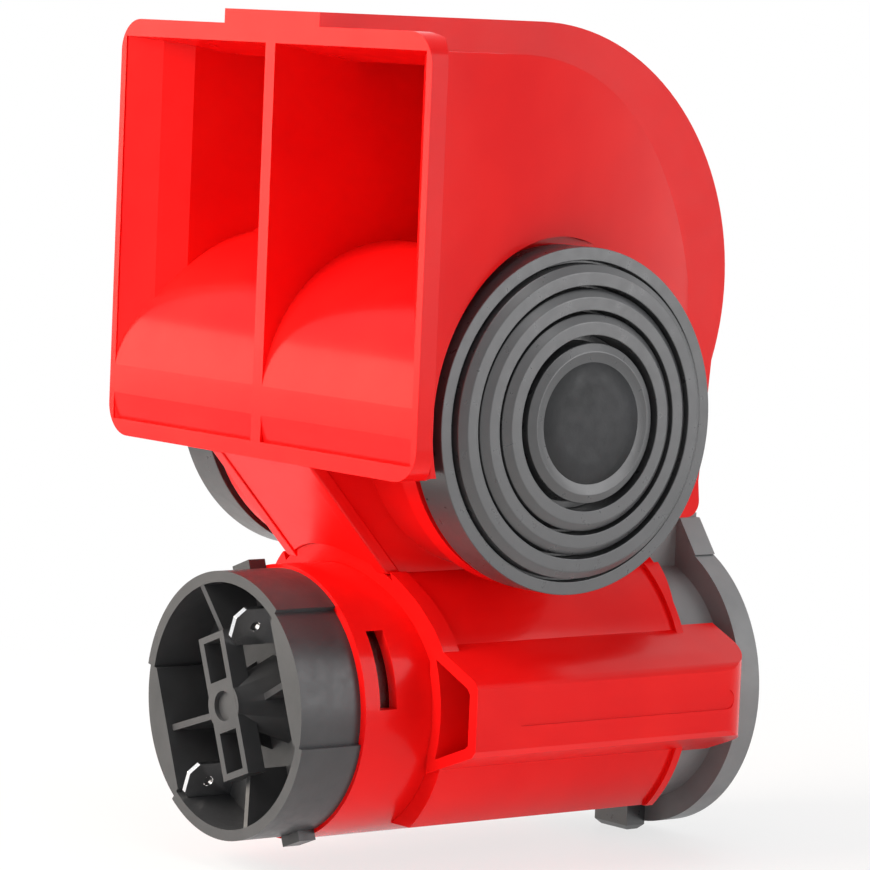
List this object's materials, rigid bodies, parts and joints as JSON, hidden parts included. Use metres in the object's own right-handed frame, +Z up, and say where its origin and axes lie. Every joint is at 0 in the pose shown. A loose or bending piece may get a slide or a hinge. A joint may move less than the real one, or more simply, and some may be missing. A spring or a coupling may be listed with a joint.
{
  "type": "car horn",
  "caption": "Compact twin-tone car horn: curled trumpets with square mouths and ribbed side caps, on a motor and vane pump with a rear mounting hole.",
  "frame": {"origin": "centre of the mounting hole's mouth, on the rear face of the pump's head", "axes": "+Y to the rear, along the motor's axis and out of the mounting hole; the trumpets open to -Y; +Z up, from the motor to the trumpets; +X to the side with the channel along the motor"},
  "size_m": [0.0786, 0.0881, 0.1304],
  "materials": {
    "red_shell": "glossy red moulding",
    "black_cap": "satin black moulding",
    "front_grey": "satin dark grey moulding",
    "head_grey": "satin mid grey moulding",
    "seal": "black rubber",
    "diaphragm_steel": "thin spring steel",
    "terminal_steel": "bright plated blade",
    "motor_steel": "plated steel",
    "lamination": "laminated steel",
    "ferrite": "ferrite",
    "copper": "copper",
    "bronze": "sintered bronze",
    "brass_insert": "turned brass",
    "carbon": "carbon",
    "bell_black": "matt black moulding",
    "pump_alloy": "turned alloy",
    "tube_white": "pale moulding",
    "filter_felt": "felt",
    "screw_steel": "zinc-plated steel"
  },
  "bodies": {
    "horn": {"trumpet_centre": "red_shell", "trumpet_shell_right": "red_shell", "trumpet_shell_left": "red_shell", "ribbed_cap_right": "black_cap", "ribbed_cap_left": "black_cap", "seal_ring_right": "seal", "seal_ring_left": "seal", "diaphragm_right": "diaphragm_steel", "diaphragm_left": "diaphragm_steel", "throat_tube_right": "tube_white", "throat_tube_left": "tube_white", "compressor_saddle": "red_shell", "motor_sleeve": "red_shell", "front_cap": "front_grey", "terminal_upper": "terminal_steel", "terminal_lower": "terminal_steel", "end_bell": "bell_black", "brushes": "carbon", "motor_can": "motor_steel", "magnets": "ferrite", "front_bush": "bronze", "rear_bush": "bronze", "pump_plate_front": "pump_alloy", "pump_ring": "pump_alloy", "pump_plate_rear": "pump_alloy", "head_gasket": "seal", "outlet_tube": "tube_white", "rear_head": "head_grey", "mount_insert": "brass_insert", "inlet_filter": "filter_felt", "head_screws": "screw_steel", "foot_plug": "black_cap"},
    "rotor": {"motor_shaft": "motor_steel", "commutator": "copper", "armature": "lamination", "windings": "copper", "pump_rotor": "pump_alloy", "pump_vanes": "carbon"}
  },
  "joints": [
    {"name": "rotor_spin", "type": "hinge", "parent": "horn", "child": "rotor", "pos_m": [0, -0.044, -0.0195], "axis": [0, 1, 0], "continuous": true}
  ]
}
